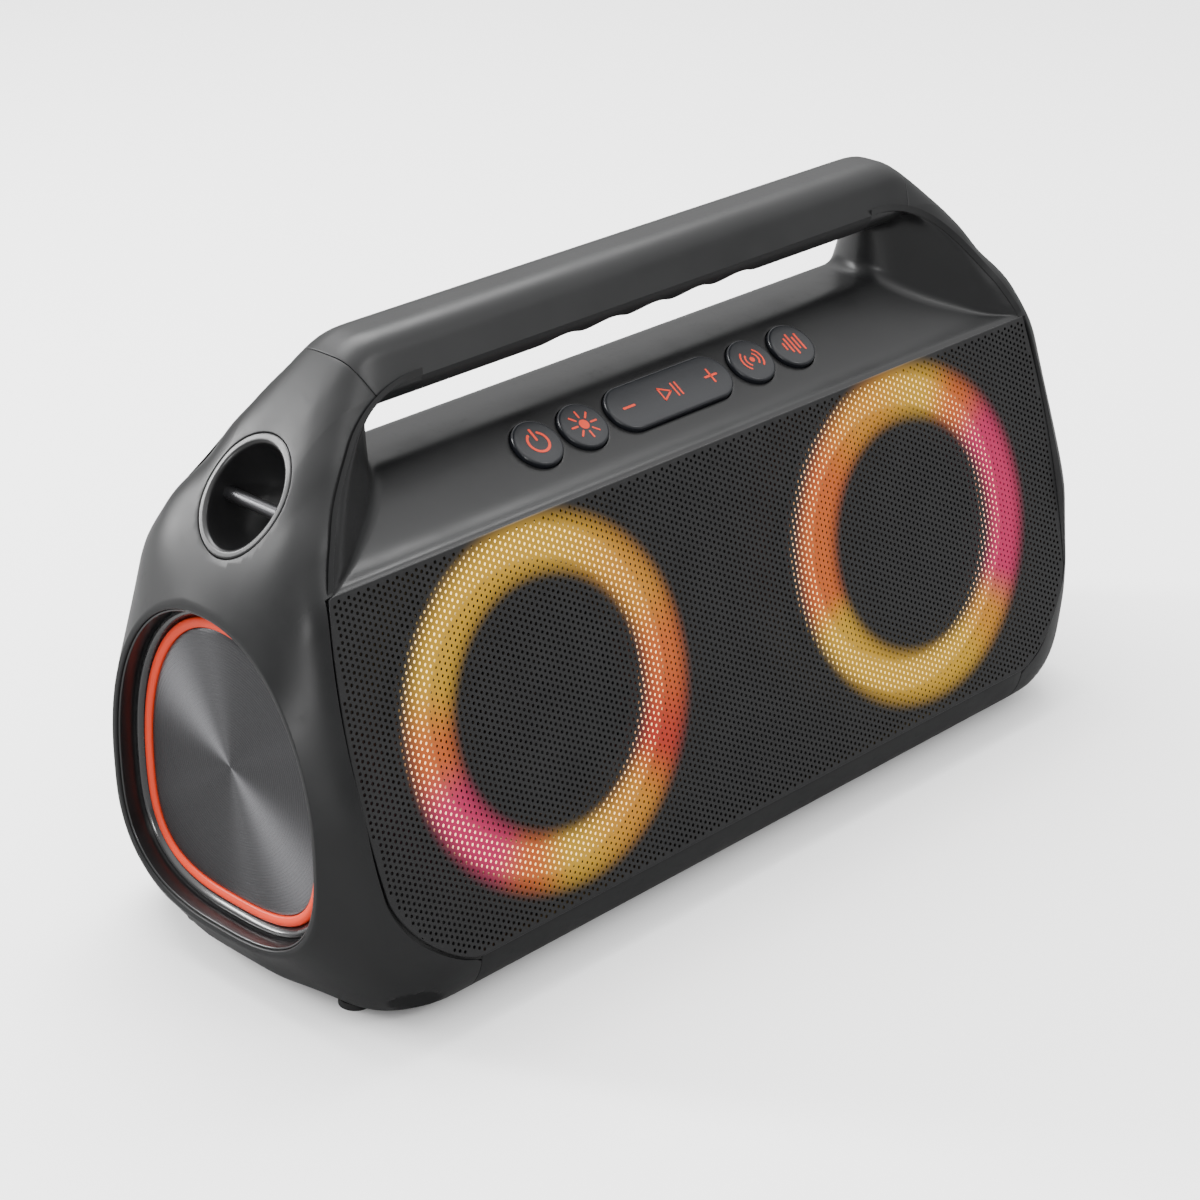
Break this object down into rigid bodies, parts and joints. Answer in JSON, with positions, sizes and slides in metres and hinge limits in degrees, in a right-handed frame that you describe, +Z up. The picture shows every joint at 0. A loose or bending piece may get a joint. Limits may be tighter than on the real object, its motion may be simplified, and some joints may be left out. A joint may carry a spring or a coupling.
{
  "type": "portable party speaker",
  "caption": "Trapezoid portable speaker with a fixed carry handle, perforated front grille over ringed drivers, top keys, end radiators and strap pockets.",
  "frame": {"origin": "centre of the footprint on the ground plane, under the middle of the handle", "axes": "+Z up, -Y out of the front grille, +X to the right of someone facing the grille"},
  "size_m": [0.391, 0.1528, 0.217],
  "materials": {
    "cap_plastic": "fine satin texture",
    "deck_plastic": "satin",
    "grip_rubber": "soft matt",
    "base_plastic": "fine texture",
    "inner_plastic": "matt",
    "grille_metal": "powder coated",
    "gasket_rubber": "matt",
    "screw_steel": "blackened",
    "basket_steel": "painted",
    "magnet_steel": "zinc plated",
    "cone_paper": "pressed fibre",
    "coil_copper": "enamelled copper",
    "spider_cloth": "impregnated cloth",
    "light_guide": "milky light guide",
    "circuit_board": "solder mask",
    "gloss_black": "gloss",
    "gloss_rubber": "semi gloss",
    "brushed_plate": "circular brushed, anodised dark",
    "accent_plastic": "satin coral",
    "cup_plastic": "satin",
    "bar_steel": "painted",
    "button_rubber": "satin",
    "carrier_plastic": "matt",
    "membrane_rubber": "matt",
    "sink_aluminium": "extruded",
    "battery_wrap": "shrink wrap",
    "bracket_steel": "zinc plated",
    "wire_sleeve": "insulation"
  },
  "bodies": {
    "cabinet": {"end_cap_left": "cap_plastic", "end_cap_right": "cap_plastic", "handle_deck": "deck_plastic", "handle_grip": "grip_rubber", "base_pan": "base_plastic", "rear_panel": "base_plastic", "front_baffle": "inner_plastic", "front_grille": "grille_metal", "grille_gasket": "gasket_rubber", "rubber_feet": "gasket_rubber", "case_screws": "screw_steel", "driver_screws": "screw_steel", "woofer_basket_left": "basket_steel", "woofer_basket_right": "basket_steel", "woofer_magnet_left": "magnet_steel", "woofer_magnet_right": "magnet_steel", "woofer_surround_left": "gasket_rubber", "woofer_surround_right": "gasket_rubber", "spider_left": "spider_cloth", "spider_right": "spider_cloth", "led_ring_left": "light_guide", "led_ring_right": "light_guide", "led_board_left": "circuit_board", "led_board_right": "circuit_board", "radiator_frame_left": "gloss_black", "radiator_frame_right": "gloss_black", "radiator_surround_left": "gloss_rubber", "radiator_surround_right": "gloss_rubber", "strap_cup_left": "cup_plastic", "strap_cup_right": "cup_plastic", "strap_bar_left": "bar_steel", "strap_bar_right": "bar_steel", "keypad_membrane": "membrane_rubber", "button_board": "circuit_board", "tact_switches": "screw_steel", "main_board": "circuit_board", "heat_sink": "sink_aluminium", "battery_pack": "battery_wrap", "battery_bracket": "bracket_steel", "port_board": "circuit_board", "port_jacks": "screw_steel", "port_cover_pin": "bar_steel", "wiring_harness": "wire_sleeve"},
    "power_key": {"power_button": "button_rubber"},
    "light_key": {"light_button": "button_rubber"},
    "wireless_key": {"wireless_button": "button_rubber"},
    "bass_key": {"bass_button": "button_rubber"},
    "volume_carrier": {"key_carrier": "carrier_plastic"},
    "volume_key": {"volume_play_key": "button_rubber"},
    "port_door": {"port_cover": "grip_rubber"},
    "driver_cone_left": {"woofer_cone_left": "cone_paper", "dust_cap_left": "cone_paper", "voice_coil_left": "coil_copper"},
    "radiator_left": {"radiator_plate_left": "brushed_plate", "radiator_trim_left": "accent_plastic"},
    "driver_cone_right": {"woofer_cone_right": "cone_paper", "dust_cap_right": "cone_paper", "voice_coil_right": "coil_copper"},
    "radiator_right": {"radiator_plate_right": "brushed_plate", "radiator_trim_right": "accent_plastic"}
  },
  "joints": [
    {"name": "power_press", "type": "slide", "parent": "cabinet", "child": "power_key", "axis": [0, 0.5373, -0.8434], "range_m": [0, 0.0008], "stiffness_N_per_m": 900},
    {"name": "light_press", "type": "slide", "parent": "cabinet", "child": "light_key", "axis": [0, 0.5373, -0.8434], "range_m": [0, 0.0008], "stiffness_N_per_m": 900},
    {"name": "wireless_press", "type": "slide", "parent": "cabinet", "child": "wireless_key", "axis": [0, 0.5373, -0.8434], "range_m": [0, 0.0008], "stiffness_N_per_m": 900},
    {"name": "bass_press", "type": "slide", "parent": "cabinet", "child": "bass_key", "axis": [0, 0.5373, -0.8434], "range_m": [0, 0.0008], "stiffness_N_per_m": 900},
    {"name": "play_press", "type": "slide", "parent": "cabinet", "child": "volume_carrier", "axis": [0, 0.5373, -0.8434], "range_m": [0, 0.0008], "stiffness_N_per_m": 900},
    {"name": "volume_rock", "type": "hinge", "parent": "volume_carrier", "child": "volume_key", "pos_m": [0, -0.01898, 0.1613], "axis": [0, 0.8434, 0.5373], "range_deg": [-1.5, 1.5]},
    {"name": "port_cover_swing", "type": "hinge", "parent": "cabinet", "child": "port_door", "pos_m": [0, 0.06703, 0.04858], "axis": [-1, 0, 0], "range_deg": [0, 100]},
    {"name": "driver_stroke_left", "type": "slide", "parent": "cabinet", "child": "driver_cone_left", "axis": [0, -0.9673, 0.2538], "range_m": [-0.003, 0.003], "stiffness_N_per_m": 1500, "deforming": ["woofer_surround_left", "spider_left"]},
    {"name": "driver_stroke_right", "type": "slide", "parent": "cabinet", "child": "driver_cone_right", "axis": [0, -0.9673, 0.2538], "range_m": [-0.003, 0.003], "stiffness_N_per_m": 1500, "deforming": ["woofer_surround_right", "spider_right"]},
    {"name": "radiator_stroke_left", "type": "slide", "parent": "cabinet", "child": "radiator_left", "axis": [-1, 0, 0], "range_m": [-0.004, 0.004], "stiffness_N_per_m": 800, "deforming": ["radiator_surround_left"]},
    {"name": "radiator_stroke_right", "type": "slide", "parent": "cabinet", "child": "radiator_right", "axis": [1, 0, 0], "range_m": [-0.004, 0.004], "stiffness_N_per_m": 800, "deforming": ["radiator_surround_right"]}
  ]
}
